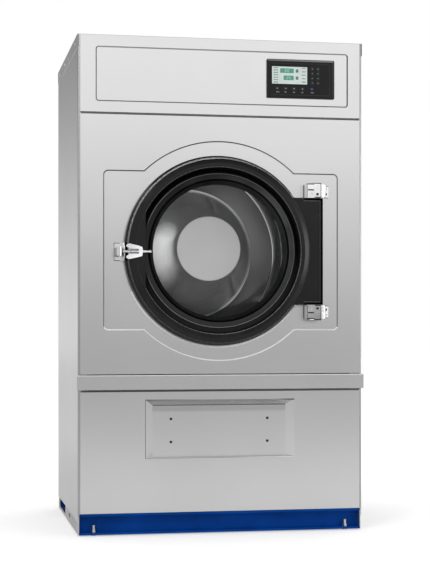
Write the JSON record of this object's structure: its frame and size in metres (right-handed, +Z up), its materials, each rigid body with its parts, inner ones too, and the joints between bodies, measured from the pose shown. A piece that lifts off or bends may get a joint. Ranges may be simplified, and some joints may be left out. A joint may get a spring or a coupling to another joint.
{
  "type": "industrial steam dryer",
  "caption": "Tall stainless industrial tumble dryer with a round glazed door, perforated drum, sliding lint drawer, steam coil and exhaust fan on a channel base.",
  "frame": {"origin": "on the floor, in the middle of the overall width and of the overall depth from the latch in front to the pipework behind", "axes": "+Z up, the front faces -Y, +X to the right as seen from the front"},
  "size_m": [1.14, 1.048, 1.9335],
  "materials": {
    "stainless": "brushed stainless sheet",
    "galvanised": "galvanised sheet",
    "drum_steel": "polished stainless sheet",
    "blue_paint": "satin paint",
    "zinc": "zinc plated",
    "chrome": "polished",
    "felt": "pressed felt",
    "rubber": "matte",
    "aluminium": "mill finish",
    "copper": "copper tube",
    "pipe_steel": "zinc plated",
    "valve_brass": "cast brass",
    "motor_paint": "satin paint",
    "cast_iron": "machined and painted",
    "black_panel": "satin",
    "display": "clear window over a pale display",
    "grey_plastic": "moulded",
    "black_plastic": "moulded",
    "door_black": "satin moulding",
    "glass": "clear toughened"
  },
  "bodies": {
    "cabinet": {"base_front_channel": "blue_paint", "base_rear_channel": "blue_paint", "base_side_rails": "galvanised", "floor_plate": "galvanised", "jack_screws": "zinc", "frame": "galvanised", "left_side_panel": "stainless", "right_side_panel": "stainless", "top_cover": "stainless", "rear_panel": "stainless", "header_panel": "stainless", "front_panel": "stainless", "front_rail": "stainless", "rear_bulkhead": "galvanised", "front_neck": "stainless", "neck_felt": "felt", "drum_casing": "galvanised", "air_ducts": "galvanised", "lint_chamber": "galvanised", "drawer_runners": "galvanised", "coil_fins": "aluminium", "coil_tubes": "copper", "steam_pipe": "pipe_steel", "steam_valve": "valve_brass", "condensate_pipe": "pipe_steel", "fan_housing": "galvanised", "fan_motor": "motor_paint", "exhaust_collar": "stainless", "drive_motor": "motor_paint", "drive_belt": "rubber", "bearing_housing": "cast_iron", "shaft_bearings": "chrome", "control_bezel": "black_panel", "display_window": "display", "control_box": "galvanised", "terminal_box": "grey_plastic", "cable_gland": "black_plastic", "door_seal": "rubber", "latch_keeper": "chrome", "hinge_leaves": "chrome", "hinge_pins": "chrome", "panel_screws": "zinc"},
    "door": {"door_frame": "door_black", "door_glass": "glass", "glass_gasket": "rubber", "glass_clamp": "stainless", "hinge_arms": "chrome", "latch_body": "chrome", "latch_spring": "chrome"},
    "latch_bolt": {"latch_bolt": "chrome"},
    "drum": {"drum_shell": "drum_steel", "drum_back": "drum_steel", "hub_cap": "stainless", "drum_lifters": "drum_steel", "drum_shaft": "cast_iron", "drum_pulley": "cast_iron"},
    "motor_pulley": {"motor_pulley": "cast_iron"},
    "impeller": {"fan_impeller": "aluminium"},
    "drawer": {"drawer_front": "stainless", "drawer_tray": "galvanised"}
  },
  "joints": [
    {"name": "door_hinge", "type": "hinge", "parent": "cabinet", "child": "door", "pos_m": [0.398, -0.489, 1.103], "axis": [0, 0, 1], "range_deg": [0, 165]},
    {"name": "latch_pull", "type": "slide", "parent": "door", "child": "latch_bolt", "axis": [1, 0, 0], "range_m": [0, 0.014], "stiffness_N_per_m": 400, "springref_m": -0.01, "deforming": ["latch_spring"]},
    {"name": "drum_spin", "type": "hinge", "parent": "cabinet", "child": "drum", "pos_m": [-0.01, 0.37, 1.124], "axis": [0, 1, 0], "continuous": true},
    {"name": "motor_spin", "type": "hinge", "parent": "cabinet", "child": "motor_pulley", "pos_m": [0.45, 0.37, 0.7], "axis": [0, 1, 0], "continuous": true},
    {"name": "fan_spin", "type": "hinge", "parent": "cabinet", "child": "impeller", "pos_m": [0.1, 0.201, 0.33], "axis": [1, 0, 0], "continuous": true},
    {"name": "drawer_slide", "type": "slide", "parent": "cabinet", "child": "drawer", "axis": [0, -1, 0], "range_m": [0, 0.32]}
  ],
  "couplings": [
    {"joint": "motor_spin", "follows": "drum_spin", "ratio": 12}
  ]
}
